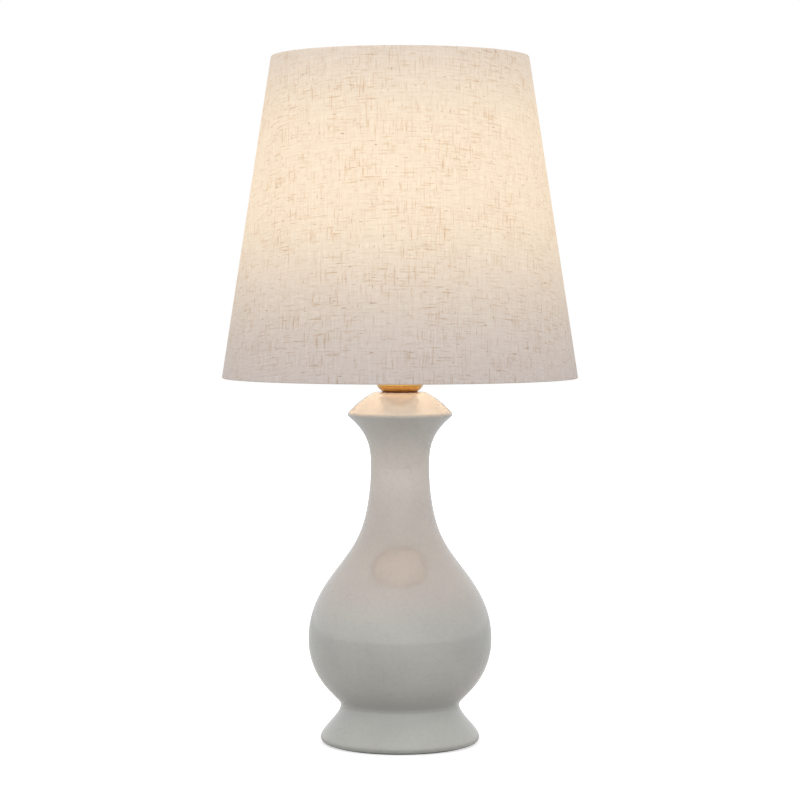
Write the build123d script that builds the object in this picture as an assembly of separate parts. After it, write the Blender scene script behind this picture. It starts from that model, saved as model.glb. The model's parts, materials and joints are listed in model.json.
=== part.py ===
"""Table lamp: a glazed ceramic baluster, a switched brass lampholder and a tapered linen shade.

The lamp stands on the XY plane with its axis on Z and its front towards -Y. Each piece is
made where it sits in the assembled lamp and is written to parts/ as a STEP file of its own.
Sizes are in millimetres.
"""
import os
from math import atan, cos, sqrt

from build123d import *

# Shade
SHADE_BOTTOM_R = 150.0
SHADE_TOP_R = 108.3
SHADE_BOTTOM_Z = 309.3
SHADE_HEIGHT = 269.6
FABRIC = 0.6
LINER = 0.4
WIRE_R = 1.5
STRUT_ANGLES = (90, 210, 330)
HOOP_R = 38.4
HOOP_STRIP = 1.6
HOOP_HEIGHT = 8.0

# Ceramic body, as radius and height along its outline
FOOT_R = 67.2
FOOT_Z = 4.8
WAIST_R = 50.2
WAIST_Z = 32.0
BELLY_R = 77.6
BELLY_Z = 88.0
BELLY_ROUND = 62.0
BELLY_DIP = 42.0
NECK_R = 24.8
NECK_Z = 234.0
RIM_R = 44.4
RIM_Z = 279.2
RIM_UNDER = (43.3, 276.5)
RIM_OVER = (43.4, 280.8)
DOME_TOP_R = 19.5
CERAMIC_TOP_Z = 297.3
CERAMIC_WALL = 5.6
FOOT_FLAT_R = 62.5
LEDGE_Z = 17.0
LEDGE_R = 46.2
LEDGE_TOP_Z = 25.0
CAVITY_FLOOR_R = 52.2
CAVITY_MOUTH_R = 57.5
CAVITY_MOUTH_Z = 5.0

# Foot, clamping rod and cable outlet
FELT = 1.0
FELT_R = 61.0
PLATE = 1.5
PLATE_R = 51.6
ROD_R = 5.0
ROD_BORE_R = 3.7
ROD_BOTTOM_Z = 7.0
ROD_TOP_Z = 306.5
ROD_CLEARANCE = 0.3
SPRING_WASHER = 2.2
SPRING_WASHER_R = 9.0
NUT_ACROSS_FLATS = 17.0
NUT_HEIGHT = 5.0
OUTLET_Z = 7.4
OUTLET_BORE_R = 3.2
GROMMET_R = 4.2
GROMMET_FLANGE_R = 5.2
GROMMET_FLANGE = 2.0
GROMMET_OUTER_Y = 65.6
GROMMET_INNER_Y = 52.8
GROMMET_LIP_R = 4.8
GROMMET_LIP = 1.2
GROMMET_GAP = 0.1

# Lampholder for a lamp with a 27 mm screw cap
SEAT_WASHER = 0.85
HOLDER_R = 19.6
HOLDER_WALL = 0.9
CAP_FOOT_R = 15.1
CAP_SHOULDER_R = 17.8
CAP_SHOULDER_Z = 303.3
BOSS_R = 7.5
BARREL_Z = 313.0
FLANGE_Z = 347.5
FLANGE_R = 23.5
FLANGE = 1.8
SKIRT_R = 19.75
SKIRT_TOP_Z = 384.0
RING_PITCH = 2.0
BAR_Z = 328.0
BAR_R = 2.2
BAR_TRAVEL = 7.0
BUTTON_R = 3.4
BUTTON = 4.0
GRUB_SCREW_Z = 302.5
BLOCK_R = 17.4
BLOCK_HALF_HEIGHT = 9.0
TERMINAL_YS = (-9.0, 9.0)
EARTH_Y = -11.0
M3_R = 1.5
M3_HOLE_R = 1.55
SCREW_SLOT = 0.7
CORE_R = 18.3
CORE_TOP_Z = 385.5
SOCKET_FLOOR_Z = 362.0
SOCKET_R = 14.3
SHELL = 0.45

# Shade fitting, with the gaps between pieces that move on each other
SLIDING_GAP = 0.1
BORE_CLEARANCE = 0.08
THREAD_CLEARANCE = 0.05
SKIRT_CLEARANCE = 0.2
FITTER = 1.5
RING_WASHER = 0.8
SHADE_RING_R = 27.0
SHADE_RING_GRIP_R = 25.4
SHADE_RING_HEIGHT = 9.0
FLUTES = 24
FLUTE_R = 1.1
FITTER_R = 29.0
EAR_X = 34.25
EAR_WIDTH = 9.0
PIVOT_Z = 354.0
PIN_R = 1.5
PIN_HEAD_R = 3.0

# Bulb: a round LED lamp with a 27 mm screw cap
BULB_R = 30.0
BULB_TIP_Z = 363.8
BULB_CENTRE_Z = 445.8
BULB_CAP_R = 13.2
BULB_CAP_TOP_Z = BULB_TIP_Z + 27.0
BULB_PITCH = 3.63
DIFFUSER = 1.2
DIFFUSER_Z = 438.0
HOUSING = 1.6
LED_COUNT = 12
LED_RING_R = 15.0
LED_BOARD_R = 25.0
LED_BOARD = 1.6
LED_CHIP = 0.8
CAP_SHEET = 0.45
CAP_TURNS = 4

# Worked out from the sizes above
SHADE_TOP_Z = SHADE_BOTTOM_Z + SHADE_HEIGHT
SHADE_SLOPE = (SHADE_BOTTOM_R - SHADE_TOP_R) / SHADE_HEIGHT
SHADE_HALF_ANGLE = atan(SHADE_SLOPE)
PLATE_Z = LEDGE_Z - PLATE
NUT_Z = PLATE_Z - SPRING_WASHER - NUT_HEIGHT
HOLDER_Z = CERAMIC_TOP_Z + SEAT_WASHER
SEAT_Z = FLANGE_Z + FLANGE
FITTER_Z = SEAT_Z + SLIDING_GAP
RING_WASHER_Z = FITTER_Z + FITTER + SLIDING_GAP
SHADE_RING_Z = RING_WASHER_Z + RING_WASHER + SLIDING_GAP


# Helpers

def turned(*curves):
    """A solid of revolution about Z from a closed outline drawn as (radius, height)."""
    edges = [edge for curve in curves for edge in curve.edges()]
    return revolve(Plane.XZ * make_face(edges), Axis.Z)


def turned_points(*points):
    """A solid of revolution from the corners of its outline."""
    return revolve(Plane.XZ * make_face(Polyline(*points, close=True)), Axis.Z)


def disc(radius, bottom, top, bore=0.0):
    """A flat ring, or a plain disc when it has no bore."""
    outer = Pos(0, 0, bottom) * extrude(Circle(radius), top - bottom)
    if not bore:
        return outer
    return outer - Pos(0, 0, bottom) * extrude(Circle(bore), top - bottom)


def rod_along_x(radius, start, end, z):
    """A round bar lying along X at the height z."""
    return Pos(start, 0, z) * Rot(0, 90, 0) * extrude(Circle(radius), end - start)


def rod_along_y(radius, start, end, z):
    """A round bar lying along Y at the height z."""
    return Pos(0, start, z) * Rot(-90, 0, 0) * extrude(Circle(radius), end - start)


def inward(curve, depth, start=0.0, end=1.0, stations=9):
    """A spline inside an outline curve that runs upwards, at the given depth from it."""
    steps = [start + (end - start) * i / (stations - 1) for i in range(stations)]
    return Spline(*[curve @ t + (curve % t).rotate(Axis.Z, 90) * depth for t in steps])


# Ceramic body

def body_outline():
    """The five curves of the outside, each running upwards, from the foot to under the rim."""
    foot = Bezier((FOOT_R, FOOT_Z), (FOOT_R, 11.8), (WAIST_R, 23.7), (WAIST_R, WAIST_Z))
    belly = CenterArc((BELLY_R - BELLY_ROUND, BELLY_Z), BELLY_ROUND, -BELLY_DIP, BELLY_DIP)
    waist = Bezier((WAIST_R, WAIST_Z), (WAIST_R, WAIST_Z + 4.1), belly @ 0 - belly % 0 * 14.8, belly @ 0)
    shoulder = Bezier(
        (BELLY_R, BELLY_Z), (BELLY_R, 152.1), (20.9, 154.0), (36.2, 192.4), (NECK_R, 191.9),
        (NECK_R, NECK_Z),
    )
    flare = Bezier((NECK_R, NECK_Z), (NECK_R, 249.9), (26.1, 261.9), RIM_UNDER)
    return foot, waist, belly, shoulder, flare


def ceramic_body():
    """The slip-cast baluster, hollow throughout and open at the foot."""
    foot, waist, belly, shoulder, flare = body_outline()
    rim = ThreePointArc(RIM_UNDER, (RIM_R, RIM_Z), RIM_OVER)
    dome = Bezier(RIM_OVER, (39.5, 284.9), (25.2, CERAMIC_TOP_Z), (DOME_TOP_R, CERAMIC_TOP_Z))
    under_edge = ThreePointArc((FOOT_FLAT_R, FELT), (66.0, 2.0), foot @ 0)
    outside = turned(
        Line((0, FELT), (FOOT_FLAT_R, FELT)), under_edge, foot, waist, belly, shoulder, flare,
        rim, dome, Line(dome @ 1, (0, CERAMIC_TOP_Z)), Line((0, CERAMIC_TOP_Z), (0, FELT)),
    )
    inner_waist = inward(waist, CERAMIC_WALL)
    inner_belly = inward(belly, CERAMIC_WALL)
    inner_shoulder = inward(shoulder, CERAMIC_WALL)
    inner_flare = inward(flare, CERAMIC_WALL, end=0.8)
    inner_dome = inward(dome, CERAMIC_WALL, start=0.4)
    ceiling = (0, CERAMIC_TOP_Z - CERAMIC_WALL)
    inside = turned(
        Polyline((0, FELT), (CAVITY_MOUTH_R, FELT), (CAVITY_MOUTH_R, CAVITY_MOUTH_Z),
                 (CAVITY_FLOOR_R, LEDGE_Z), (LEDGE_R, LEDGE_Z), (LEDGE_R, LEDGE_TOP_Z),
                 inner_waist @ 0),
        inner_waist, inner_belly, inner_shoulder, inner_flare,
        Line(inner_flare @ 1, inner_dome @ 0),
        inner_dome,
        Polyline(inner_dome @ 1, ceiling, (0, FELT)),
    )
    outlet = rod_along_y(GROMMET_R + GROMMET_GAP, LEDGE_R, FOOT_R + 1, OUTLET_Z)
    flange_seat_y = GROMMET_OUTER_Y - GROMMET_FLANGE
    flange_seat = rod_along_y(GROMMET_FLANGE_R + GROMMET_GAP, flange_seat_y, FOOT_R + 1, OUTLET_Z)
    return outside - inside - outlet - flange_seat - disc(ROD_R + ROD_CLEARANCE, PLATE_Z, ROD_TOP_Z)


# Pieces of the foot and the rod that clamps the lamp together

def felt_pad():
    """The full disc of felt glued under the foot."""
    return disc(FELT_R, 0, FELT)


def bottom_plate():
    """The pressed steel disc that pulls up against the ledge inside the foot."""
    return disc(PLATE_R, PLATE_Z, LEDGE_Z, bore=ROD_R + ROD_CLEARANCE)


def threaded_rod():
    """The hollow rod from the foot to the lampholder, which also carries the cable."""
    return disc(ROD_R, ROD_BOTTOM_Z, ROD_TOP_Z, bore=ROD_BORE_R)


def spring_washer():
    """The split washer between the nut and the bottom plate."""
    bore, slant, gap = ROD_R + 0.2, 35, 1.2
    ring = disc(SPRING_WASHER_R, PLATE_Z - SPRING_WASHER, PLATE_Z, bore=bore)
    split = Rot(slant, 0, 0) * Box(8, gap, 6)
    return ring - Pos((bore + SPRING_WASHER_R) / 2, 0, PLATE_Z - SPRING_WASHER / 2) * split


def rod_nut():
    """The thin hexagonal nut at the foot of the rod, with chamfered corners."""
    hexagon = RegularPolygon(NUT_ACROSS_FLATS / 2, 6, major_radius=False)
    blank = Pos(0, 0, NUT_Z) * extrude(hexagon, NUT_HEIGHT)
    corner_r, chamfer_width, chamfer_height = NUT_ACROSS_FLATS / sqrt(3), 1.4, 0.9
    envelope_r = corner_r + 0.2
    chamfer_envelope = turned_points(
        (0, NUT_Z), (envelope_r - chamfer_width, NUT_Z), (envelope_r, NUT_Z + chamfer_height),
        (envelope_r, NUT_Z + NUT_HEIGHT), (0, NUT_Z + NUT_HEIGHT),
    )
    return (blank & chamfer_envelope) - disc(ROD_R + THREAD_CLEARANCE, NUT_Z - 1, PLATE_Z)


def cable_grommet():
    """The bush in the back of the foot: a sleeve with a flange outside and a lip inside."""
    sleeve = rod_along_y(GROMMET_R, GROMMET_INNER_Y, GROMMET_OUTER_Y, OUTLET_Z)
    flange_y = GROMMET_OUTER_Y - GROMMET_FLANGE
    flange = rod_along_y(GROMMET_FLANGE_R, flange_y, GROMMET_OUTER_Y, OUTLET_Z)
    lip = rod_along_y(GROMMET_LIP_R, GROMMET_INNER_Y, GROMMET_INNER_Y + GROMMET_LIP, OUTLET_Z)
    bore = rod_along_y(OUTLET_BORE_R, GROMMET_INNER_Y - 1, GROMMET_OUTER_Y + 1, OUTLET_Z)
    return sleeve + flange + lip - bore


def seat_washer():
    """The fibre washer between the ceramic and the lampholder."""
    return disc(CAP_FOOT_R - 0.2, CERAMIC_TOP_Z, HOLDER_Z, bore=ROD_R + ROD_CLEARANCE)


# Lampholder

def lampholder_cap():
    """The spun brass bowl, with a threaded boss inside that screws on to the rod."""
    wall, bead_r = HOLDER_WALL, HOLDER_R + 0.5
    foot, shoulder = (CAP_FOOT_R, HOLDER_Z), (HOLDER_R, CAP_SHOULDER_Z)
    outer = turned(
        Line((0, HOLDER_Z), foot),
        ThreePointArc(foot, (CAP_SHOULDER_R, 300.4), shoulder),
        Polyline(shoulder, (HOLDER_R, BARREL_Z - 1.6), (bead_r, BARREL_Z - 1.2),
                 (bead_r, BARREL_Z - 0.4), (HOLDER_R, BARREL_Z), (0, BARREL_Z), (0, HOLDER_Z)),
    )
    inner_foot = (CAP_FOOT_R - 0.4, HOLDER_Z + wall)
    inner_shoulder = (HOLDER_R - wall, CAP_SHOULDER_Z + 0.4)
    inner = turned(
        Line((0, inner_foot[1]), inner_foot),
        ThreePointArc(inner_foot, (CAP_SHOULDER_R - wall, 300.9), inner_shoulder),
        Polyline(inner_shoulder, (HOLDER_R - wall, BARREL_Z + 1), (0, BARREL_Z + 1),
                 (0, inner_foot[1])),
    )
    boss = disc(BOSS_R, HOLDER_Z, ROD_TOP_Z - 0.5)
    rod_thread = disc(ROD_R + THREAD_CLEARANCE, HOLDER_Z - 1, ROD_TOP_Z)
    screw_hole = rod_along_x(M3_HOLE_R, ROD_R, BOSS_R + 1.5, GRUB_SCREW_Z)
    return outer - inner + boss - rod_thread - screw_hole


def grub_screw():
    """The slotted screw in the boss that locks the lampholder to the rod."""
    end = BOSS_R + SCREW_SLOT
    body = rod_along_x(M3_R, ROD_R + SLIDING_GAP, end, GRUB_SCREW_Z)
    return body - Pos(end, 0, GRUB_SCREW_Z) * Box(1.6, 0.5, 4)


def lampholder_body():
    """The brass barrel: a neck inside the cap, a switch chamber, a flange and a threaded skirt."""
    wall, neck_z = 0.8, 307.0
    neck_r = HOLDER_R - HOLDER_WALL - SLIDING_GAP
    chamber_r, chamber_z = HOLDER_R - wall, BARREL_Z + 1.0
    thread_root, skirt_bore = SKIRT_R - 0.4, CORE_R + SKIRT_CLEARANCE
    thread = []
    for turn in range(int((SKIRT_TOP_Z - SEAT_Z - 2) / RING_PITCH)):
        z = SEAT_Z + 1.5 + turn * RING_PITCH
        thread += [(thread_root, z), (SKIRT_R, z + 0.7), (SKIRT_R, z + 1.1)]
    barrel = turned_points(
        (neck_r, neck_z), (neck_r, BARREL_Z + SLIDING_GAP), (HOLDER_R, BARREL_Z + SLIDING_GAP),
        (HOLDER_R, FLANGE_Z), (FLANGE_R, FLANGE_Z), (FLANGE_R, SEAT_Z), (thread_root, SEAT_Z),
        *thread, (thread_root, SKIRT_TOP_Z), (skirt_bore, SKIRT_TOP_Z), (skirt_bore, FLANGE_Z),
        (chamber_r, FLANGE_Z), (chamber_r, chamber_z), (neck_r - wall, chamber_z),
        (neck_r - wall, neck_z),
    )
    return barrel - rod_along_x(BAR_R + BORE_CLEARANCE, -30, 30, BAR_Z)


def switch_block():
    """The moulded block in the barrel, bored for the push bar and the terminal screws."""
    bottom = BAR_Z - BLOCK_HALF_HEIGHT
    block = disc(BLOCK_R, bottom, BAR_Z + BLOCK_HALF_HEIGHT)
    bar_bore = rod_along_x(BAR_R + BORE_CLEARANCE, -20, 20, BAR_Z)
    holes = [Pos(0, y, bottom - 1) * extrude(Circle(M3_HOLE_R), 6.5) for y in TERMINAL_YS]
    wire_ways = [Pos(x, 0, bottom - 1) * extrude(Circle(1.6), 5) for x in (-11, 11)]
    return block - bar_bore - holes - wire_ways


def terminal_screws():
    """The two slotted cheese-head screws that clamp the live and neutral wires."""
    seat, head_height = BAR_Z - BLOCK_HALF_HEIGHT, 2.2
    screws = []
    for y in TERMINAL_YS:
        head = Pos(0, y, seat - head_height) * extrude(Circle(2.8), head_height)
        shank = Pos(0, y, seat) * extrude(Circle(M3_R), 5.0)
        slot = Pos(0, y, seat - head_height) * Box(6, SCREW_SLOT, 1.6)
        screws.append(head + shank - slot)
    return Compound(screws)


def earth_screw():
    """The earth terminal: a cheese-head screw standing in the floor of the cap."""
    floor, stem_height, head_height = HOLDER_Z + HOLDER_WALL, 0.8, 2.2
    stem = extrude(Circle(M3_R), stem_height)
    head = Pos(0, 0, stem_height) * extrude(Circle(2.6), head_height)
    slot = Pos(0, 0, stem_height + head_height) * Box(6, SCREW_SLOT, 1.6)
    return Pos(0, EARTH_Y, floor) * (head + stem - slot)


def switch_bar():
    """The push-through bar: a button at each end, one pushed in while the other stands out."""
    half_gap = HOLDER_R + 2.0
    bar = rod_along_x(BAR_R, -half_gap - BAR_TRAVEL - 2, half_gap + 2, BAR_Z)
    button = Rot(0, 90, 0) * extrude(Circle(BUTTON_R), BUTTON)
    left = Pos(-half_gap - BAR_TRAVEL - BUTTON, 0, BAR_Z) * button
    right = Pos(half_gap, 0, BAR_Z) * button
    ends = (left + right).edges().filter_by(GeomType.CIRCLE).group_by(Axis.X)
    return chamfer(ends[0] + ends[-1], 0.8) + bar


def insulating_core():
    """The porcelain cup that holds the screw contact."""
    solid_core = disc(CORE_R, BAR_Z + BLOCK_HALF_HEIGHT, CORE_TOP_Z)
    cup = solid_core - disc(SOCKET_R, SOCKET_FLOOR_Z, CORE_TOP_Z + 1)
    lip = cup.edges().filter_by(GeomType.CIRCLE).group_by(Axis.Z)[-1]
    return fillet(lip, 1.2)


def contact_shell():
    """The rolled brass screw contact inside the porcelain."""
    outer = SOCKET_R - 0.1
    return disc(outer, SOCKET_FLOOR_Z + 2.0, CORE_TOP_Z - 3.0, bore=outer - SHELL)


def centre_contact():
    """The sprung bronze tongue that touches the tip of the bulb."""
    strip, width, top = 0.5, 6.0, BULB_TIP_Z - SLIDING_GAP
    low = SOCKET_FLOOR_Z + strip
    side = make_face(Polyline(
        (-9, SOCKET_FLOOR_Z), (-2, SOCKET_FLOOR_Z), (2, top - strip), (5, top - strip),
        (5, top), (1.6, top), (-2.4, low), (-9, low), close=True,
    ))
    return Pos(0, width / 2, 0) * extrude(Plane.XZ * side, width)


# Shade ring and fitter

def shade_ring():
    """The knurled ring that screws down the skirt and clamps the shade."""
    bottom, top = SHADE_RING_Z, SHADE_RING_Z + SHADE_RING_HEIGHT
    bore, grip_z, chamfer_size = SKIRT_R + SKIRT_CLEARANCE, SHADE_RING_Z + 2.4, 1.0
    ring = turned_points(
        (bore, bottom), (SHADE_RING_R, bottom), (SHADE_RING_R, bottom + 1.6),
        (SHADE_RING_GRIP_R, grip_z), (SHADE_RING_GRIP_R, top - chamfer_size),
        (SHADE_RING_GRIP_R - chamfer_size, top), (bore, top),
    )
    flute = Pos(SHADE_RING_GRIP_R + 0.5, 0, grip_z) * extrude(Circle(FLUTE_R), SHADE_RING_HEIGHT)
    return ring - [Rot(0, 0, 360 / FLUTES * step) * flute for step in range(FLUTES)]


def ring_washer():
    """The slip washer under the shade ring."""
    top = RING_WASHER_Z + RING_WASHER
    return disc(SHADE_RING_R - 1.0, RING_WASHER_Z, top, bore=SKIRT_R + SKIRT_CLEARANCE + 0.1)


def fitter_washer():
    """The steel plate under the ring, with two ears bent up to carry the gimbal pins."""
    plate = disc(FITTER_R, FITTER_Z, FITTER_Z + FITTER)
    ear_height, ear_top = PIVOT_Z - FITTER_Z, PIVOT_Z + EAR_WIDTH / 2
    for side in (-1, 1):
        x = side * EAR_X
        arm = Pos(side * (EAR_X - 3.25), 0, FITTER_Z + FITTER / 2) * Box(8.0, EAR_WIDTH, FITTER)
        ear = Pos(x, 0, FITTER_Z + ear_height / 2) * Box(FITTER, EAR_WIDTH, ear_height)
        tip = rod_along_x(EAR_WIDTH / 2, x - FITTER / 2, x + FITTER / 2, PIVOT_Z)
        plate = plate + arm + ear + tip
    pin_holes = rod_along_x(PIN_R + 0.02, -40, 40, PIVOT_Z)
    skirt_hole = disc(SKIRT_R + SKIRT_CLEARANCE + 0.15, FITTER_Z - 1, ear_top + 1)
    return plate - skirt_hole - pin_holes


def gimbal_pins():
    """The two shouldered rivets that the shade's hoop tilts on."""
    ear_inside, ear_outside = EAR_X - FITTER / 2, EAR_X + FITTER / 2
    hoop_inside, hoop_outside = HOOP_R - HOOP_STRIP / 2, HOOP_R + HOOP_STRIP / 2
    head, end_gap = 1.2, 0.3
    inner_head = rod_along_x(PIN_HEAD_R, ear_inside - head, ear_inside, PIVOT_Z)
    shank = rod_along_x(PIN_R, ear_inside, hoop_outside + end_gap + head, PIVOT_Z)
    shoulder = rod_along_x(2.6, ear_outside, hoop_inside - 0.4, PIVOT_Z)
    outer_head = rod_along_x(PIN_HEAD_R, hoop_outside + end_gap, hoop_outside + end_gap + head, PIVOT_Z)
    pin = inner_head + shank + shoulder + outer_head
    return Compound([pin, Rot(0, 0, 180) * pin])


# Shade

def shade_r(z, depth=0.0):
    """The shade's radius at a height, at a depth inside its outer face."""
    return SHADE_BOTTOM_R - SHADE_SLOPE * (z - SHADE_BOTTOM_Z) - depth / cos(SHADE_HALF_ANGLE)


def wall(depth, thickness, bottom, top):
    """A conical layer of the shade, from a depth inside its outer face."""
    inner = depth + thickness
    return turned_points(
        (shade_r(bottom, depth), bottom), (shade_r(top, depth), top),
        (shade_r(top, inner), top), (shade_r(bottom, inner), bottom),
    )


def wire_ring(z):
    """A round wire ring lying inside the shade's wall at the height z."""
    radius = shade_r(z, FABRIC + LINER + WIRE_R + 0.05)
    return Pos(0, 0, z) * Torus(radius, WIRE_R)


def bottom_ring():
    """The wire ring that holds the shade's lower edge round."""
    return wire_ring(SHADE_BOTTOM_Z + FABRIC + WIRE_R)


def top_ring():
    """The wire ring in the shade's upper edge."""
    return wire_ring(SHADE_TOP_Z - FABRIC - WIRE_R)


def shade_spider():
    """The gimbal hoop with three wire arms that run down to the bottom ring."""
    hoop = disc(HOOP_R + HOOP_STRIP / 2, PIVOT_Z - HOOP_HEIGHT / 2, PIVOT_Z + HOOP_HEIGHT / 2,
                bore=HOOP_R - HOOP_STRIP / 2)
    hoop -= rod_along_x(PIN_R + BORE_CLEARANCE, -50, 50, PIVOT_Z)
    ring_z = SHADE_BOTTOM_Z + FABRIC + WIRE_R
    ring_r = shade_r(ring_z, FABRIC + LINER + WIRE_R)
    bend = (HOOP_R + 14, PIVOT_Z)
    route = FilletPolyline((HOOP_R, PIVOT_Z), bend, (ring_r, ring_z), radius=20)
    path = Plane.XZ * route
    arm = sweep(Plane(path @ 0, z_dir=path % 0) * Circle(WIRE_R), path)
    bore = disc(HOOP_R, PIVOT_Z - 6, PIVOT_Z + 6)
    arms = [Rot(0, 0, angle) * (arm - bore) for angle in STRUT_ANGLES]
    return hoop + arms - bottom_ring()


def shade_fabric():
    """The linen cone with its edges turned in under the wire rings."""
    lip = 3.6
    bottom_lip = disc(shade_r(SHADE_BOTTOM_Z, FABRIC / 2), SHADE_BOTTOM_Z, SHADE_BOTTOM_Z + FABRIC,
                      bore=SHADE_BOTTOM_R - lip)
    top_lip = disc(shade_r(SHADE_TOP_Z, FABRIC / 2), SHADE_TOP_Z - FABRIC, SHADE_TOP_Z,
                   bore=SHADE_TOP_R - lip)
    return wall(0, FABRIC, SHADE_BOTTOM_Z, SHADE_TOP_Z) + bottom_lip + top_lip


def shade_liner():
    """The white sheet that the linen is bonded to."""
    return wall(FABRIC, LINER, SHADE_BOTTOM_Z + FABRIC, SHADE_TOP_Z - FABRIC)


# Bulb

def dome(radius):
    """The upper part of a ball about the bulb's centre, cut off flat where the housing starts."""
    ball = Pos(0, 0, BULB_CENTRE_Z) * Sphere(radius)
    return ball & disc(BULB_R + 1, DIFFUSER_Z, BULB_CENTRE_Z + BULB_R + 1)


def bulb_diffuser():
    """The opal dome that the light leaves through."""
    return dome(BULB_R) - dome(BULB_R - DIFFUSER)


def housing_shape(depth):
    """The tapered body below the dome as a filled solid, at a depth inside its outer face."""
    top_r = sqrt(BULB_R**2 - (BULB_CENTRE_Z - DIFFUSER_Z) ** 2) - depth
    foot = (BULB_CAP_R + 1.2 - depth, BULB_CAP_TOP_Z + 0.2)
    flank = Spline(foot, (BULB_CAP_R + 5.6 - depth, BULB_CAP_TOP_Z + 22.0), (top_r, DIFFUSER_Z),
                   tangents=((0.12, 1), (0.2, 1)))
    return turned(Line((0, foot[1]), foot), flank,
                  Polyline((top_r, DIFFUSER_Z), (0, DIFFUSER_Z), (0, foot[1])))


def bulb_housing():
    """The white tapered body that holds the driver and carries heat away from the board."""
    foot_z = BULB_CAP_TOP_Z + 0.2
    collar = disc(BULB_CAP_R - 0.6, BULB_CAP_TOP_Z - 3.2, foot_z + HOUSING, bore=BULB_CAP_R - 2.2)
    floor = disc(BULB_CAP_R, foot_z, foot_z + HOUSING, bore=BULB_CAP_R - 2.2)
    return housing_shape(0) - housing_shape(HOUSING) + collar + floor


def led_board():
    """The aluminium board in the mouth of the housing, with its ring of LED chips."""
    face = DIFFUSER_Z - LED_CHIP
    board = disc(LED_BOARD_R, face - LED_BOARD, face)
    chip = Pos(LED_RING_R, 0, face + LED_CHIP / 2) * Box(3.0, 2.8, LED_CHIP)
    return board + [Rot(0, 0, 360 / LED_COUNT * step) * chip for step in range(LED_COUNT)]


def led_driver():
    """The driver in the housing: an upright circuit board, a capacitor and a wound inductor."""
    middle = BULB_CAP_TOP_Z + 14.0
    board = Pos(0, 0, middle) * Box(19.0, 1.6, 34.0)
    capacitor = Pos(-3.5, -4.6, middle - 6) * extrude(Circle(4.0), 14.0)
    inductor = Pos(4.0, 4.1, middle - 2) * extrude(Circle(3.5), 9.0)
    return board + capacitor + inductor


def bulb_screw_cap():
    """The rolled screw cap, with a ring for each turn of its thread."""
    sheet, root = CAP_SHEET, BULB_CAP_R - 0.8
    first_z = BULB_TIP_Z + 7.0
    thread = []
    for turn in range(CAP_TURNS):
        z = first_z + turn * BULB_PITCH
        crest = (z + BULB_PITCH * 0.35, z + BULB_PITCH * 0.65)
        thread += [(root, z), (BULB_CAP_R, crest[0]), (BULB_CAP_R, crest[1])]
    collar_z = first_z + CAP_TURNS * BULB_PITCH + 1.0
    return turned_points(
        (10.9, BULB_TIP_Z + 5.0), (root, BULB_TIP_Z + 5.8), *thread, (root, collar_z),
        (BULB_CAP_R, collar_z + 1.0), (BULB_CAP_R, BULB_CAP_TOP_Z),
        (BULB_CAP_R - sheet, BULB_CAP_TOP_Z), (BULB_CAP_R - sheet, collar_z + 1.2),
        (root - sheet, collar_z + 0.2), (root - sheet, BULB_TIP_Z + 6.2),
        (10.7, BULB_TIP_Z + 5.4),
    )


def bulb_insulator():
    """The black glass button that closes the bottom of the screw cap."""
    bottom, seat, top = BULB_TIP_Z + 1.6, BULB_TIP_Z + 4.9, BULB_TIP_Z + 5.5
    button = turned_points((0, bottom), (5.2, bottom), (10.8, seat), (10.6, top), (0, top))
    return button - disc(4.5, bottom - 1, bottom + 1)


def bulb_contact():
    """The solder contact at the tip."""
    shoulder, top = BULB_TIP_Z + 1.2, BULB_TIP_Z + 2.5
    return turned_points((0, BULB_TIP_Z), (2.2, BULB_TIP_Z), (4.4, shoulder), (4.4, top), (0, top))


PIECES = (
    ceramic_body, felt_pad, bottom_plate, threaded_rod, spring_washer, rod_nut, cable_grommet,
    seat_washer, lampholder_cap, grub_screw, lampholder_body, switch_block, terminal_screws,
    earth_screw, switch_bar, insulating_core, contact_shell, centre_contact, shade_ring,
    ring_washer, fitter_washer, gimbal_pins, shade_spider, bottom_ring, top_ring, shade_liner,
    shade_fabric, bulb_diffuser, bulb_housing, led_board, led_driver, bulb_screw_cap,
    bulb_insulator, bulb_contact,
)

os.makedirs("parts", exist_ok=True)
for piece in PIECES:
    export_step(piece(), f"parts/{piece.__name__}.step")
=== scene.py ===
# %% [markdown]
# # A table lamp with a linen shade
# The lamp is a glazed ceramic baluster with a brass lampholder and a tapered linen shade, and it
# is switched on. The frame brings every hard part at its real size. This script adds the cloth,
# the glaze, the metals and the light, one step at a time.

# %% Load the frame
import json
import math

import bmesh
import bpy
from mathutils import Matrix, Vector


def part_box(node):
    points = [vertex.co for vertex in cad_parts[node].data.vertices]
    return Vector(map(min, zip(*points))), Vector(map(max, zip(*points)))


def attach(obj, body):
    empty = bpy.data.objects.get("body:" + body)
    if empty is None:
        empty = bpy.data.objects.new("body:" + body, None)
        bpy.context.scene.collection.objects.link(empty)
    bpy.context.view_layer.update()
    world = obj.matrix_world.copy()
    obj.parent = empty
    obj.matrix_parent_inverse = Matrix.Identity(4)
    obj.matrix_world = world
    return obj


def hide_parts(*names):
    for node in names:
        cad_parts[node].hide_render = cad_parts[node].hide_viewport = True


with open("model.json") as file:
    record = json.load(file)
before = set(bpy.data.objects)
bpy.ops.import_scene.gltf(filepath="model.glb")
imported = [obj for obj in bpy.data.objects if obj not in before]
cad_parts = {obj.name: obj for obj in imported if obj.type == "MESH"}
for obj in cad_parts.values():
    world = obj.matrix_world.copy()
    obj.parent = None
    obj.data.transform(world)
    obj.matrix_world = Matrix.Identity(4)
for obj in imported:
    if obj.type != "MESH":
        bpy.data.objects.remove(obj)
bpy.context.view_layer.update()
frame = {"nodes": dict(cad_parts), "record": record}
scene = bpy.context.scene
nodes = frame["nodes"]
MM = 0.001

# %% [markdown]
# ## Camera
# The lamp is seen from the front, a little above its middle, from just over two metres with a
# long lens, so its sides stay nearly parallel and the shade's two rims curve only slightly.

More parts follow.
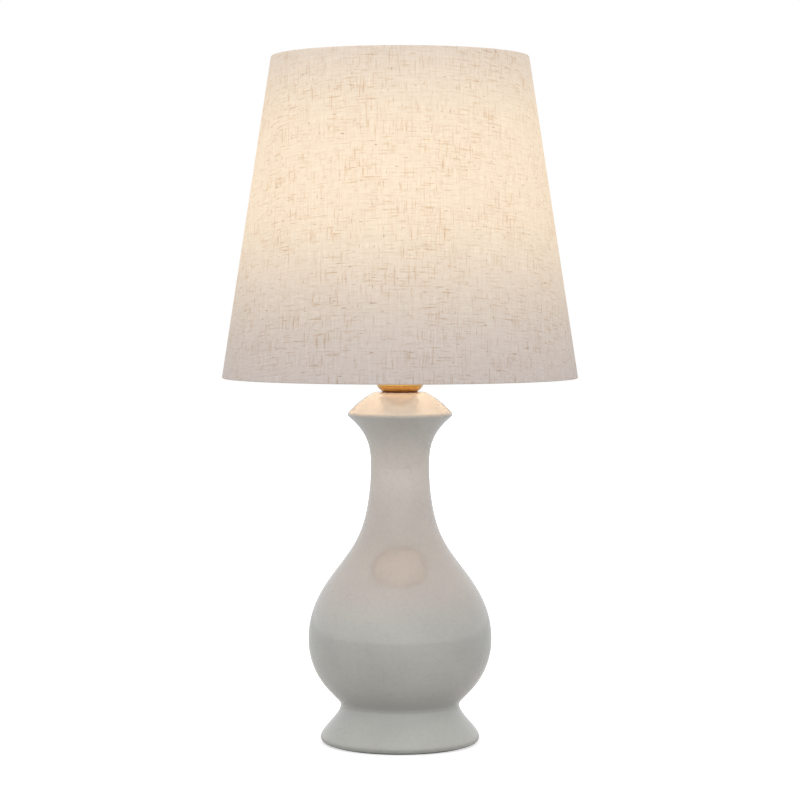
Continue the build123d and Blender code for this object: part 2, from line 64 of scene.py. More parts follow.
# %% Camera
CAMERA_PLACE = (0.0, -2.1733, 0.3891)
CAMERA_DOWN = math.radians(2.597)
LENS, SENSOR = 115.95, 36.0
camera_data = bpy.data.cameras.new("camera")
camera_data.lens = LENS
camera_data.sensor_width = SENSOR
camera = bpy.data.objects.new("camera", camera_data)
camera.location = CAMERA_PLACE
camera.rotation_euler = (math.pi / 2 - CAMERA_DOWN, 0.0, 0.0)
scene.collection.objects.link(camera)
scene.camera = camera
print("camera", round(-CAMERA_PLACE[1], 3), "m in front, with a", LENS, "mm lens")

# %% [markdown]
# ## Studio
# A product room is a white tent: even light from all round, and no lamp or window to be seen in
# a glossy glaze. The world does that with one soft gradient, brighter in front and dimmer behind,
# because the sides of a pale pot mirror what is behind it and would fade into a white room.
# Whatever looks straight at the world sees plain white. The Standard view keeps white as white.

# %% World
scene.view_settings.view_transform = "Standard"
BRIGHT_SIDE = Vector((-0.08, -1.0, 0.0)).normalized()
ROOM_BEHIND, ROOM_IN_FRONT = 0.75, 1.37
COOL_WHITE = (0.985, 0.995, 1.0, 1.0)
PLAIN_WHITE = (1.0, 1.0, 1.0, 1.0)
world = bpy.data.worlds.new("white_room")
scene.world = world
world.use_nodes = True
sky = world.node_tree
room = sky.nodes["Background"]
room.inputs["Color"].default_value = COOL_WHITE
backdrop = sky.nodes.new("ShaderNodeBackground")
backdrop.inputs["Color"].default_value = PLAIN_WHITE
direction = sky.nodes.new("ShaderNodeTexCoord")
towards = sky.nodes.new("ShaderNodeVectorMath")
towards.operation = "DOT_PRODUCT"
towards.inputs[1].default_value = BRIGHT_SIDE
gradient = sky.nodes.new("ShaderNodeMapRange")
gradient.inputs["From Min"].default_value = -1.0
gradient.inputs["To Min"].default_value = ROOM_BEHIND
gradient.inputs["To Max"].default_value = ROOM_IN_FRONT
seen = sky.nodes.new("ShaderNodeLightPath")
choose = sky.nodes.new("ShaderNodeMixShader")
sky.links.new(direction.outputs["Generated"], towards.inputs[0])
sky.links.new(towards.outputs["Value"], gradient.inputs["Value"])
sky.links.new(gradient.outputs["Result"], room.inputs["Strength"])
sky.links.new(seen.outputs["Is Camera Ray"], choose.inputs[0])
sky.links.new(room.outputs[0], choose.inputs[1])
sky.links.new(backdrop.outputs[0], choose.inputs[2])
sky.links.new(choose.outputs[0], sky.nodes["World Output"].inputs["Surface"])
print("room light from", ROOM_BEHIND, "behind to", ROOM_IN_FRONT, "in front")

# %% [markdown]
# ## Small helpers
# Every finish is a node material. These helpers add one node, one noise pattern or one mix in a
# single line, so that each finish below reads as a short recipe.

# %% Helpers for materials
def new_finish(name, colour, roughness, metallic=0.0):
    """A material with one Principled shader: the material, its node tree and the shader."""
    material = bpy.data.materials.new(name)
    material.use_nodes = True
    tree = material.node_tree
    shader = tree.nodes["Principled BSDF"]
    shader.inputs["Base Color"].default_value = (*colour, 1.0)
    shader.inputs["Roughness"].default_value = roughness
    shader.inputs["Metallic"].default_value = metallic
    return material, tree, shader


def add(tree, kind, inputs=(), **settings):
    """Adds a node of that kind. Each input is a value or another node's output."""
    made = tree.nodes.new("ShaderNode" + kind)
    for key, value in settings.items():
        setattr(made, key, value)
    for key, value in dict(inputs).items():
        if isinstance(value, bpy.types.NodeSocket):
            tree.links.new(value, made.inputs[key])
        else:
            made.inputs[key].default_value = value
    return made


def place_of(tree, stretch=(1.0, 1.0, 1.0)):
    """The point's place on the object, in metres, stretched along each axis."""
    source = add(tree, "TexCoord").outputs["Object"]
    return add(tree, "Mapping", {"Vector": source, "Scale": stretch}).outputs["Vector"]


def noise(tree, place, scale, detail=3.0, roughness=0.5):
    """A soft random pattern from 0 to 1, with about scale features to the metre."""
    inputs = {"Vector": place, "Scale": scale, "Detail": detail, "Roughness": roughness}
    return add(tree, "TexNoise", inputs).outputs["Fac"]


def between(tree, value, low, high, to_low=0.0, to_high=1.0):
    """Spreads the stretch of value from low to high over to_low to to_high, smoothly."""
    inputs = {"Value": value, "From Min": low, "From Max": high, "To Min": to_low,
              "To Max": to_high}
    return add(tree, "MapRange", inputs, interpolation_type="SMOOTHSTEP").outputs["Result"]


def maths(tree, operation, first, second=0.0):
    """One sum on two numbers or sockets."""
    return add(tree, "Math", {0: first, 1: second}, operation=operation).outputs[0]


def blend_colour(tree, share, first, second, kind="MIX"):
    """Mixes two colours by share."""
    mix = add(tree, "Mix", {0: share, 6: first, 7: second}, data_type="RGBA", blend_type=kind)
    return mix.outputs[2]


def rgb(*channels):
    """A colour with full opacity."""
    return (*channels, 1.0)


def bump(tree, shader, height, depth, strength=1.0):
    """Gives the shader relief from a height pattern, depth metres from 0 to 1."""
    inputs = {"Height": height, "Distance": depth, "Strength": strength}
    tree.links.new(add(tree, "Bump", inputs).outputs["Normal"], shader.inputs["Normal"])


def colour_by(tree, shader, socket):
    """Feeds the shader's base colour."""
    tree.links.new(socket, shader.inputs["Base Color"])


print("helpers ready")

# %% [markdown]
# ## Sizes of the shade
# Everything about the cloth is worked out from the frame: the edges of the CAD cone, the two
# wire rings inside it, and the slope between them.

# %% Sizes of the shade, read from the frame
CLOTH = 0.6 * MM
WIRE = 3.0 * MM
WIRE_GAP = 0.1 * MM
SAME_HEIGHT = 0.01 * MM
cloth_low_z, cloth_high_z = (corner.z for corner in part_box("shade_fabric"))
bottom_ring_r = -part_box("bottom_ring")[0].x - WIRE
top_ring_r = -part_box("top_ring")[0].x - WIRE


def widest_at(node, height):
    """The largest radius of a node's corners at a height."""
    return max(math.hypot(vert.co.x, vert.co.y) for vert in nodes[node].data.vertices
               if abs(vert.co.z - height) < SAME_HEIGHT)


cloth_low_r = widest_at("shade_fabric", cloth_low_z)
cloth_high_r = widest_at("shade_fabric", cloth_high_z)
half_angle = math.atan2(cloth_low_r - cloth_high_r, cloth_high_z - cloth_low_z)
print("shade", round(cloth_low_r * 2, 4), "to", round(cloth_high_r * 2, 4), "m across, half angle",
      round(math.degrees(half_angle), 2), "degrees")

# %% [markdown]
# ## Linen
# The shade's cloth is a plain linen weave with slubs: short thick stretches of thread, tan or
# brown, that lie along both directions of the weave. It is cut flat and rolled into a cone, so
# the pattern has to follow the flat cloth, not the room. A UV map holds that flat cloth at its
# real size in metres. With the lamp on, the cloth also glows: the light that reaches it falls
# off with its distance from the bulb, and thick tan thread holds back more of it, blue most.
# Light also bounces about inside the shade, so level with the bulb the glow is evened out by a
# smooth limit.
# That glow is painted light: an emission on the cloth, not light traced through it.

# %% Threads of the linen
BULB_GLOW_Z = 0.462
SHADE_MID_R = 0.130
GLOW_STRENGTH = 0.452
GLOW_GAIN, GLOW_LIMIT, GLOW_KNEE = 1.32, 1.17, 0.64
PALE_THREAD = rgb(0.481, 0.439, 0.454)
BRIGHT_THREAD = rgb(0.517, 0.476, 0.493)
TAN_THREAD = rgb(0.365, 0.268, 0.200)
BROWN_THREAD = rgb(0.235, 0.145, 0.088)
PALE_GLOW = rgb(1.0, 0.75, 0.345)
TAN_GLOW = rgb(0.70, 0.37, 0.090)
BROWN_GLOW = rgb(0.36, 0.13, 0.020)


def streaks(tree, cloth, along, across, low, high, offset, detail=1.0):
    """Stretches of thread that long and that wide, in metres, as a mask from 0 to 1."""
    stretch = (1.0 / along, 1.0 / across, 1.0)
    inputs = {"Vector": cloth, "Scale": stretch, "Location": (offset, offset * 1.7, 0.0)}
    place = add(tree, "Mapping", inputs).outputs["Vector"]
    return between(tree, noise(tree, place, 1.0, detail=detail, roughness=0.6), low, high)


def both_ways(tree, cloth, operation, level, upright):
    """The streaks that run level and those that run upright, joined by the operation."""
    return maths(tree, operation, streaks(tree, cloth, *level), streaks(tree, cloth, *upright))


def bulb_light(tree):
    """How strongly the bulb lights the cone there, taken as 1 level with the bulb."""
    place = add(tree, "TexCoord").outputs["Object"]
    from_bulb = add(tree, "VectorMath", {0: place, 1: (0.0, 0.0, BULB_GLOW_Z)},
                    operation="SUBTRACT").outputs["Vector"]
    outward = add(tree, "VectorMath", {0: place, 1: (1.0, 1.0, 0.0)},
                  operation="MULTIPLY").outputs["Vector"]
    reach = add(tree, "VectorMath", {0: outward}, operation="LENGTH").outputs["Value"]
    distance = add(tree, "VectorMath", {0: from_bulb}, operation="LENGTH").outputs["Value"]
    rise = add(tree, "SeparateXYZ", {0: from_bulb}).outputs["Z"]
    facing = maths(tree, "ADD", maths(tree, "MULTIPLY", reach, math.cos(half_angle)),
                   maths(tree, "MULTIPLY", rise, math.sin(half_angle)))
    fall = maths(tree, "DIVIDE", facing, maths(tree, "POWER", distance, 3.0))
    return maths(tree, "MULTIPLY", fall, SHADE_MID_R**2)


# %% [markdown]
# Five patterns make the cloth: long faint bands of paler thread each way, fine slubs, long
# slubs, and a few short brown knots. A slow cloud gathers the slubs in some places and thins
# them in others, as they are in real yarn.

# %% Linen finish
LONG_SLUB_TAN, FINE_SLUB_TAN, MOST_TAN = 0.62, 0.34, 0.85
KNOT_BROWN = 0.62
WEAVE_RELIEF = 0.22 * MM


def linen():
    """Off-white slubbed linen, with the bulb's glow painted on as emission."""
    material, tree, shader = new_finish("slubbed_linen", (0.6, 0.55, 0.5), 0.95)
    shader.inputs["Sheen Weight"].default_value = 0.08
    shader.inputs["Specular IOR Level"].default_value = 0.15
    cloth = add(tree, "UVMap", uv_map="cloth").outputs["UV"]
    cloud = between(tree, noise(tree, cloth, 22.0, detail=2.0), 0.38, 0.62, 0.45, 1.0)
    long_slubs = both_ways(tree, cloth, "MAXIMUM", (0.0150, 0.00140, 0.56, 0.72, 3.1, 1.5),
                           (0.00140, 0.0170, 0.56, 0.72, 7.7, 1.5))
    fine_slubs = both_ways(tree, cloth, "MAXIMUM", (0.0075, 0.00095, 0.50, 0.78, 13.3),
                           (0.00095, 0.0085, 0.50, 0.78, 19.9))
    knots = both_ways(tree, cloth, "MAXIMUM", (0.0085, 0.00150, 0.70, 0.77, 29.0),
                      (0.00150, 0.0075, 0.71, 0.78, 37.0))
    bands = both_ways(tree, cloth, "MULTIPLY", (0.0450, 0.00170, 0.38, 0.66, 41.0),
                      (0.00170, 0.0500, 0.38, 0.66, 47.0))
    slubs = maths(tree, "ADD", maths(tree, "MULTIPLY", long_slubs, LONG_SLUB_TAN),
                  maths(tree, "MULTIPLY", fine_slubs, FINE_SLUB_TAN))
    tan = maths(tree, "MINIMUM", maths(tree, "MULTIPLY", slubs, cloud), MOST_TAN)
    brown = maths(tree, "MULTIPLY", knots, KNOT_BROWN)

    plain = blend_colour(tree, bands, PALE_THREAD, BRIGHT_THREAD)
    with_tan = blend_colour(tree, tan, plain, TAN_THREAD)
    colour_by(tree, shader, blend_colour(tree, brown, with_tan, BROWN_THREAD))

    # Painted light: the glow is an emission worked out from the bulb's place, standing in for the
    # light that comes through the cloth.
    glow_with_tan = blend_colour(tree, tan, PALE_GLOW, TAN_GLOW)
    glow = blend_colour(tree, brown, glow_with_tan, BROWN_GLOW)
    tree.links.new(glow, shader.inputs["Emission Color"])
    passed = maths(tree, "ADD", 0.96, maths(tree, "MULTIPLY", bands, 0.09))
    gained = maths(tree, "MULTIPLY", bulb_light(tree), GLOW_GAIN)
    limited = add(tree, "Math", {0: gained, 1: GLOW_LIMIT, 2: GLOW_KNEE}, operation="SMOOTH_MIN")
    strength = maths(tree, "MULTIPLY", limited.outputs[0], passed)
    tree.links.new(maths(tree, "MULTIPLY", strength, GLOW_STRENGTH),
                   shader.inputs["Emission Strength"])

    relief = maths(tree, "ADD", maths(tree, "MULTIPLY", bands, 0.35), long_slubs)
    bump(tree, shader, maths(tree, "ADD", relief, maths(tree, "MULTIPLY", fine_slubs, 0.5)),
         WEAVE_RELIEF, 0.7)
    return material


linen_finish = linen()
print("linen:", len(linen_finish.node_tree.nodes), "nodes")

# %% [markdown]
# ## Cloth of the shade
# The cloth is one flat piece, rolled into a cone and turned in over the two wire rings. Its
# section is drawn once: from the hem inside the bottom ring, under the wire, up the outside,
# over the top wire and down to the other hem. The corners are pressed tight, so they are
# rounded by only a millimetre or two.

# %% Cloth section
HEM = 9.0 * MM
OUTER_CORNER, INNER_CORNER = 1.2 * MM, 2.2 * MM
hem_r_low = bottom_ring_r - CLOTH - WIRE_GAP
hem_r_high = top_ring_r - CLOTH - WIRE_GAP
slope = Vector((-math.sin(half_angle), math.cos(half_angle)))


def rounded(corners, radii, steps=5):
    """The line through the corners, with each inner corner rounded by its radius."""
    line = [Vector(corners[0])]
    for before, corner, after, radius in zip(corners, corners[1:], corners[2:], radii):
        corner = Vector(corner)
        start = corner + (Vector(before) - corner).normalized() * radius
        end = corner + (Vector(after) - corner).normalized() * radius
        for step in range(steps + 1):
            t = step / steps
            line.append((1 - t)**2 * start + 2 * t * (1 - t) * corner + t**2 * end)
    return line + [Vector(corners[-1])]


low_hem, high_hem = Vector((hem_r_low, cloth_low_z)), Vector((hem_r_high, cloth_high_z))
cloth_line = rounded(
    [low_hem + slope * HEM, low_hem, (cloth_low_r, cloth_low_z), (cloth_high_r, cloth_high_z),
     high_hem, high_hem - slope * HEM],
    [INNER_CORNER, OUTER_CORNER, OUTER_CORNER, INNER_CORNER])
print("cloth section:", len(cloth_line), "points")

# %% [markdown]
# Spinning the section gives the skin. Each corner then gets its place on the flat cloth: the
# distance from the cone's tip, and the turn about it, which is smaller than the turn about the
# lamp because the cone opens out when it is laid flat. The length along the section is kept on
# each vertex while it spins, because the turned-in hems double back over the same heights.

# %% Spin the cloth
STEPS = 192


def piece_of(mesh, name, finish, smooth=True):
    """Turns a bmesh into an object in the scene with one finish."""
    data = bpy.data.meshes.new(name)
    for face in mesh.faces:
        face.smooth = smooth
    mesh.to_mesh(data)
    mesh.free()
    piece = bpy.data.objects.new(name, data)
    data.materials.append(finish)
    scene.collection.objects.link(piece)
    return piece


cloth_mesh = bmesh.new()
travel = cloth_mesh.verts.layers.float.new("travel")
points = [cloth_mesh.verts.new((point.x, 0.0, point.y)) for point in cloth_line]
for before, after in zip(points, points[1:]):
    after[travel] = before[travel] + (after.co - before.co).length
edges = [cloth_mesh.edges.new(pair) for pair in zip(points, points[1:])]
bmesh.ops.spin(cloth_mesh, geom=points + edges, cent=(0, 0, 0), axis=(0, 0, 1),
               angle=2 * math.pi, steps=STEPS, use_merge=True)

# %% [markdown]
# The two ends of the cloth overlap at the back and are glued. The overlapping end stands proud
# of the cone by the cloth's own thickness, with a crisp edge down the middle of the back. A cut
# just beside the middle line gives that edge its own narrow faces, and the strip on its other
# side is moved outwards, least where the overlap ends.

# %% Overlap at the back
OVERLAP = math.radians(6.0)
RAMP = math.radians(1.6)
EDGE_TURN = math.radians(0.12)
BACK_HALF_Y = 0.05
INSIDE_CLOTH = 2 * MM


def back_turn(point):
    """The turn from the back's middle line, positive towards +X."""
    return math.atan2(point.x, point.y)


def cut_back(turn):
    """Cuts the back half of the cloth along the upright plane at that turn."""
    back = [face for face in cloth_mesh.faces if face.calc_center_median().y > BACK_HALF_Y]
    around = {edge for face in back for edge in face.edges}
    corners = {vert for face in back for vert in face.verts}
    bmesh.ops.bisect_plane(cloth_mesh, geom=[*back, *around, *corners], dist=1e-6,
                           plane_co=(0, 0, 0), plane_no=(math.cos(turn), -math.sin(turn), 0))


cut_back(-EDGE_TURN)
for vert in cloth_mesh.verts:
    turn = back_turn(vert.co)
    radius = math.hypot(vert.co.x, vert.co.y)
    middle_r = cloth_low_r + (cloth_high_r - cloth_low_r) * (
        (vert.co.z - cloth_low_z) / (cloth_high_z - cloth_low_z)) - INSIDE_CLOTH
    if vert.co.y < 0 or turn < -EDGE_TURN / 2 or turn > OVERLAP or radius < middle_r:
        continue
    rise = min(1.0, (OVERLAP - turn) / RAMP) * CLOTH
    vert.co.x *= (radius + rise) / radius
    vert.co.y *= (radius + rise) / radius
print("overlap", round(OVERLAP * cloth_low_r * 1000, 1), "mm wide at the lower edge")

# %% [markdown]
# ## Flat pattern
# Threads run straight on the flat cloth, so on the cone the upright threads lean in towards the
# top at the sides, and the level threads sag between them. The pattern starts square in front.

# %% Lay the cloth flat
def lay_flat(mesh):
    """Writes each corner's place on the flat cloth, in metres."""
    uv = mesh.loops.layers.uv.new("cloth")
    edge_slant = cloth_low_r / math.sin(half_angle)
    edge_travel = HEM + (cloth_low_r - hem_r_low)
    for face in mesh.faces:
        middle = face.calc_center_median()
        middle_turn = math.atan2(middle.x, -middle.y)
        for loop in face.loops:
            turn = math.atan2(loop.vert.co.x, -loop.vert.co.y)
            turn += 2 * math.pi * round((middle_turn - turn) / (2 * math.pi))
            slant = edge_slant + edge_travel - loop.vert[travel]
            flat_turn = turn * math.sin(half_angle)
            loop[uv].uv = (slant * math.sin(flat_turn), -slant * math.cos(flat_turn))


bmesh.ops.recalc_face_normals(cloth_mesh, faces=cloth_mesh.faces)
lay_flat(cloth_mesh)
shade_cloth = piece_of(cloth_mesh, "linen_cover", linen_finish)
thickness = shade_cloth.modifiers.new("cloth_thickness", "SOLIDIFY")
thickness.thickness = CLOTH
thickness.offset = -1.0
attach(shade_cloth, "shade")
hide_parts("shade_fabric")
print("cloth mesh:", len(shade_cloth.data.polygons), "faces before it gets its thickness")

# %% [markdown]
# ## Glaze
# The body is cast in clay, dipped in a pale grey-beige glaze and fired. The glaze is glassy, a
# little uneven in tone, and crazed: a net of hairline cracks that formed as it cooled. Its tone
# also changes with height, and that is painted light and painted shade: lighter and warmer on the
# neck and under the rim, where the glow from the shade falls, darker on the dome, and darker and
# greyer in the waist.

# %% Glaze finish
# Glaze tone by height with painted light in it: lighter and warmer on the neck and under the rim,
# darker on the dome.
GLAZE_TONE_AND_PAINTED_LIGHT_BY_HEIGHT = (
    (0.000, rgb(0.395, 0.391, 0.360)), (0.098, rgb(0.392, 0.388, 0.362)),
    (0.135, rgb(0.405, 0.373, 0.348)), (0.168, rgb(0.400, 0.370, 0.346)),
    (0.200, rgb(0.425, 0.390, 0.368)), (0.236, rgb(0.512, 0.486, 0.458)),
    (0.274, rgb(0.475, 0.460, 0.432)), (0.288, rgb(0.405, 0.385, 0.358)),
    (0.300, rgb(0.405, 0.385, 0.358)))
# Painted shade: a darker, greyer band in the waist.
WAIST_SHADE_LOW, WAIST_SHADE_MIDDLE, WAIST_SHADE_HIGH = 0.020, 0.034, 0.052
GLAZE_PAINTED_SHADE = rgb(0.330, 0.335, 0.325)
GLAZE_FLECK = rgb(0.34, 0.31, 0.27)
GLAZE_CRACK = rgb(0.22, 0.20, 0.18)
CRACKS_PER_METRE, CRACK_SHOWS = 150.0, 0.13
GLAZE_RELIEF = 1.4 * MM


def by_height(tree, rise, stops):
    """A colour that changes with height: the stops are (height in metres, colour)."""
    top = stops[-1][0]
    made = add(tree, "ValToRGB", {"Fac": maths(tree, "DIVIDE", rise, top)})
    ramp = made.color_ramp
    ramp.interpolation = "EASE"
    for height, _ in stops[1:-1]:
        ramp.elements.new(height / top)
    for mark, (_, colour) in zip(ramp.elements, stops):
        mark.color = colour
    return made.outputs["Color"]


def glaze():
    """Glossy crazed glaze over pale clay."""
    material, tree, shader = new_finish("crazed_glaze", (0.45, 0.43, 0.39), 0.16)
    shader.inputs["Coat Weight"].default_value = 0.8
    shader.inputs["Coat Roughness"].default_value = 0.03
    place = place_of(tree)
    drift = noise(tree, place, 16.0, detail=4.0)
    fleck = noise(tree, place, 900.0, detail=2.0)
    rings = noise(tree, place_of(tree, (3.0, 3.0, 170.0)), 1.0, detail=2.0)
    swirl = add(tree, "TexNoise", {"Vector": place, "Scale": 90.0}).outputs["Color"]
    warped = add(tree, "Mix", {0: 0.006, 4: place, 5: swirl}, data_type="VECTOR").outputs[1]
    cracks = add(tree, "TexVoronoi", {"Vector": warped, "Scale": CRACKS_PER_METRE},
                 feature="DISTANCE_TO_EDGE").outputs["Distance"]
    line = between(tree, cracks, 0.0, 0.05, 1.0, 0.0)
    rise = add(tree, "SeparateXYZ", {0: place}).outputs["Z"]
    # Painted shade: the waist is made darker and greyer.
    waist_shade = maths(tree, "MULTIPLY", between(tree, rise, WAIST_SHADE_LOW, WAIST_SHADE_MIDDLE),
                   between(tree, rise, WAIST_SHADE_MIDDLE, WAIST_SHADE_HIGH, 1.0, 0.0))
    # This tone by height carries painted light and painted shade.
    tone = by_height(tree, rise, GLAZE_TONE_AND_PAINTED_LIGHT_BY_HEIGHT)
    cloudy = between(tree, drift, 0.3, 0.7, 0.95, 1.05)
    tone = add(tree, "VectorMath", {0: tone, "Scale": cloudy}, operation="SCALE").outputs["Vector"]
    glaze_with_waist_shade = blend_colour(tree, maths(tree, "MULTIPLY", waist_shade, 0.5), tone, GLAZE_PAINTED_SHADE)
    flecked = blend_colour(tree, between(tree, fleck, 0.62, 0.80, 0.0, 0.4), glaze_with_waist_shade, GLAZE_FLECK)
    crazed = blend_colour(tree, maths(tree, "MULTIPLY", line, CRACK_SHOWS), flecked,
                          GLAZE_CRACK)
    colour_by(tree, shader, crazed)
    surface = maths(tree, "ADD", drift, maths(tree, "MULTIPLY", rings, 0.10))
    bump(tree, shader, maths(tree, "ADD", surface, maths(tree, "MULTIPLY", line, -0.03)),
         GLAZE_RELIEF, 0.3)
    return material


finishes = {"glazed_ceramic": glaze(), "linen": linen_finish}
print("glaze: a tone that changes at", len(GLAZE_TONE_AND_PAINTED_LIGHT_BY_HEIGHT), "heights")

# %% [markdown]
# ## Metals, plastics and fibre
# The smaller parts share a few recipes: a base colour that drifts a little over the surface, a
# roughness, and a fine relief. Each is at the scale of its own making: turning marks on brass,
# grain on zinc, flow on moulded plastic.

# %% Finishes for the fittings
def plain_finish(name, colours, roughness, metallic=0.0, scale=40.0, relief=0.00002,
                 relief_scale=900.0, stretch=(1.0, 1.0, 1.0)):
    """A finish whose colour drifts between two tones, with a fine relief."""
    material, tree, shader = new_finish(name, colours[0], roughness, metallic)
    place = place_of(tree, stretch)
    drift = between(tree, noise(tree, place, scale), 0.35, 0.65)
    colour_by(tree, shader, blend_colour(tree, drift, rgb(*colours[0]), rgb(*colours[1])))
    bump(tree, shader, noise(tree, place, relief_scale), relief, 0.5)
    return material


finishes["brass"] = plain_finish(
    "lacquered_brass", ((0.88, 0.52, 0.17), (0.80, 0.45, 0.13)), 0.20, 1.0,
    relief_scale=500.0, stretch=(1.0, 1.0, 12.0))
finishes["contact_brass"] = plain_finish(
    "bright_brass", ((0.86, 0.62, 0.26), (0.78, 0.52, 0.20)), 0.3, 1.0)
finishes["zinc_steel"] = plain_finish(
    "zinc_plate", ((0.62, 0.62, 0.60), (0.50, 0.51, 0.52)), 0.38, 1.0, scale=120.0)
finishes["rubber"] = plain_finish(
    "black_rubber", ((0.030, 0.030, 0.030), (0.045, 0.044, 0.043)), 0.75)
finishes["vulcanised_fibre"] = plain_finish(
    "red_fibre", ((0.16, 0.045, 0.030), (0.10, 0.030, 0.020)), 0.7, scale=200.0)
finishes["bakelite"] = plain_finish(
    "brown_bakelite", ((0.050, 0.028, 0.018), (0.080, 0.045, 0.028)), 0.35, scale=80.0)
finishes["porcelain"] = plain_finish(
    "porcelain", ((0.82, 0.81, 0.78), (0.76, 0.75, 0.72)), 0.25)
finishes["white_enamel"] = plain_finish(
    "white_powder_coat", ((0.80, 0.80, 0.78), (0.74, 0.74, 0.72)), 0.5, relief=0.00004)
finishes["clear_fibre"] = plain_finish(
    "natural_nylon", ((0.74, 0.72, 0.66), (0.66, 0.64, 0.58)), 0.45)
finishes["white_housing"] = plain_finish(
    "white_housing", ((0.80, 0.80, 0.78), (0.76, 0.76, 0.74)), 0.35)
finishes["led_board"] = plain_finish(
    "board_white", ((0.78, 0.78, 0.76), (0.70, 0.70, 0.68)), 0.4)
finishes["circuit_board"] = plain_finish(
    "green_laminate", ((0.03, 0.16, 0.06), (0.02, 0.12, 0.05)), 0.4, scale=300.0)
finishes["nickel"] = plain_finish(
    "nickel_plate", ((0.66, 0.64, 0.60), (0.58, 0.56, 0.53)), 0.28, 1.0)
finishes["black_glass"] = plain_finish(
    "black_vitrite", ((0.010, 0.010, 0.014), (0.02, 0.02, 0.025)), 0.1)
finishes["solder"] = plain_finish(
    "solder", ((0.56, 0.56, 0.56), (0.46, 0.46, 0.46)), 0.42, 1.0, scale=500.0)
print(len(finishes), "finishes so far")

# %% [markdown]
# ## Felt
# A disc of pressed wool under the foot keeps it from scratching the table. Felt has no weave, so
# a very fine noise stands for its short fibres, and a broad one makes it cloudy. Sheen gives the
# pale bloom that such fibres have at a low angle.

# %% Felt finish
FELT_RELIEF = 0.3 * MM


def felt():
    """Pressed felt: short fibres lying every way."""
    material, tree, shader = new_finish("pressed_felt", (0.03, 0.05, 0.035), 0.95)
    shader.inputs["Sheen Weight"].default_value = 0.4
    place = place_of(tree)
    fibres = noise(tree, place, 2500.0, detail=4.0, roughness=0.7)
    cloud = noise(tree, place, 90.0)
    both = maths(tree, "ADD", maths(tree, "MULTIPLY", fibres, 0.6),
                 maths(tree, "MULTIPLY", cloud, 0.4))
    colour_by(tree, shader, blend_colour(tree, between(tree, both, 0.3, 0.7),
                                         rgb(0.016, 0.030, 0.020), rgb(0.045, 0.070, 0.050)))
    bump(tree, shader, fibres, FELT_RELIEF, 0.8)
    return material


finishes["felt"] = felt()
print("felt:", len(finishes["felt"].node_tree.nodes), "nodes")

# %% [markdown]
# ## Bulb
# The dome of the bulb is opal plastic that spreads the light of the chips behind it. It is the
# only real lamp in the scene: a surface that glows warm white, a touch cloudy, and lights the
# brass, the inside of the shade and the dome of the ceramic below it.

# %% Bulb finish
BULB_STRENGTH = 5.0
BULB_WARMTH = rgb(1.0, 0.74, 0.46)


def opal():
    """The opal dome of the bulb, switched on."""
    material, tree, shader = new_finish("opal_diffuser", (0.9, 0.86, 0.78), 0.4)
    place = place_of(tree)
    cloud = between(tree, noise(tree, place, 60.0), 0.3, 0.7, 0.94, 1.0)
    shader.inputs["Emission Color"].default_value = BULB_WARMTH
    tree.links.new(maths(tree, "MULTIPLY", cloud, BULB_STRENGTH),
                   shader.inputs["Emission Strength"])
    return material


finishes["opal_diffuser"] = opal()
print("bulb glows at", BULB_STRENGTH)

# %% [markdown]
# ## Liner
# A white plastic sheet backs the linen and holds it stiff. It scatters the bulb's light back and
# forth many times. That would take very long to trace, so the sheet glows by the same rule as
# the cloth, brightest level with the bulb, and this is what lights the ceramic from above.

# %% Liner finish
LINER_GLOW = 1.25
LINER_WARMTH = rgb(1.0, 0.77, 0.60)


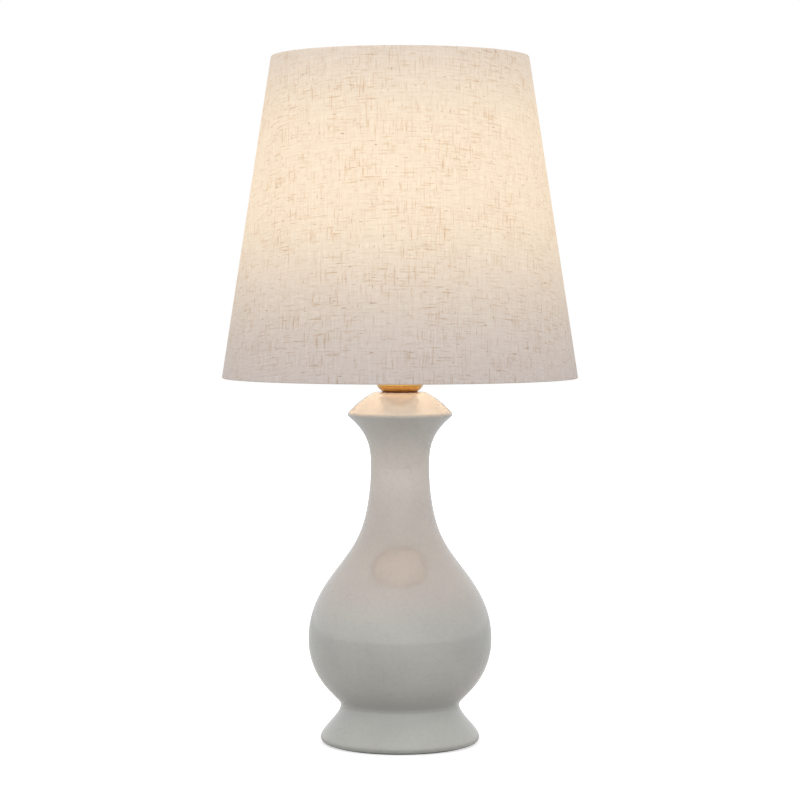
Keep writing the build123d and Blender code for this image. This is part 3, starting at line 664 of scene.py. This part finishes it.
def liner():
    """The white sheet inside the shade, which scatters the bulb's light as the cloth does."""
    material, tree, shader = new_finish("liner_sheet", (0.86, 0.83, 0.77), 0.5)
    shader.inputs["Emission Color"].default_value = LINER_WARMTH
    tree.links.new(maths(tree, "MULTIPLY", bulb_light(tree), LINER_GLOW),
                   shader.inputs["Emission Strength"])
    place = place_of(tree)
    drift = noise(tree, place, 30.0)
    colour_by(tree, shader, blend_colour(tree, between(tree, drift, 0.3, 0.7),
                                         rgb(0.86, 0.83, 0.77), rgb(0.82, 0.79, 0.72)))
    bump(tree, shader, noise(tree, place, 1200.0), 0.03 * MM, 0.4)
    return material


finishes["liner"] = liner()
print("liner glows at", LINER_GLOW)

# %% [markdown]
# ## Dress the frame
# The record says which finish each hard part has. A frame part keeps its mesh, and only the
# material in its slots is changed. The drawn cone of cloth gets the linen too, though the
# modelled cloth stands in for it.

# %% Give every frame part its finish
for entry in frame["record"]["subparts"]:
    part = nodes[entry["node"]]
    for place in part.material_slots:
        place.material = finishes[entry["material_slot"]]

# %% [markdown]
# ## Floor
# A wide pale floor catches the soft shadow under the foot. It works as the room does: it looks
# white, and the lamp is lit by its plain grey, so the undersides keep their shade. Further out
# it fades into the white of the room, so no horizon line shows. Its back face is clear, so the
# underside of the lamp and the inside of the shade can be seen from below.

# %% Floor
FLOOR_HALF = 6.0
FLOOR_GREY = 0.60
FADE_START, FADE_END = 0.25, 1.1
NEAR_WHITE = 0.60
floor_finish, floor_tree, floor_shader = new_finish("pale_floor", (FLOOR_GREY,) * 3, 0.9)
floor_shader.inputs["Specular IOR Level"].default_value = 0.0
floor_shader.inputs["Emission Color"].default_value = rgb(1.0, 1.0, 1.0)
floor_place = add(floor_tree, "TexCoord").outputs["Object"]
from_foot = add(floor_tree, "VectorMath", {0: floor_place}, operation="LENGTH").outputs["Value"]
whiteness = between(floor_tree, from_foot, FADE_START, FADE_END, NEAR_WHITE, 1.0)
looked_at = add(floor_tree, "LightPath").outputs["Is Camera Ray"]
floor_tree.links.new(maths(floor_tree, "MULTIPLY", whiteness, looked_at),
                     floor_shader.inputs["Emission Strength"])
seen_from_below = add(floor_tree, "NewGeometry").outputs["Backfacing"]
floor_tree.links.new(maths(floor_tree, "SUBTRACT", 1.0, seen_from_below),
                     floor_shader.inputs["Alpha"])
floor_mesh = bmesh.new()
bmesh.ops.create_grid(floor_mesh, x_segments=1, y_segments=1, size=FLOOR_HALF)
piece_of(floor_mesh, "floor", floor_finish, smooth=False)
print("floor", FLOOR_HALF * 2, "m across")
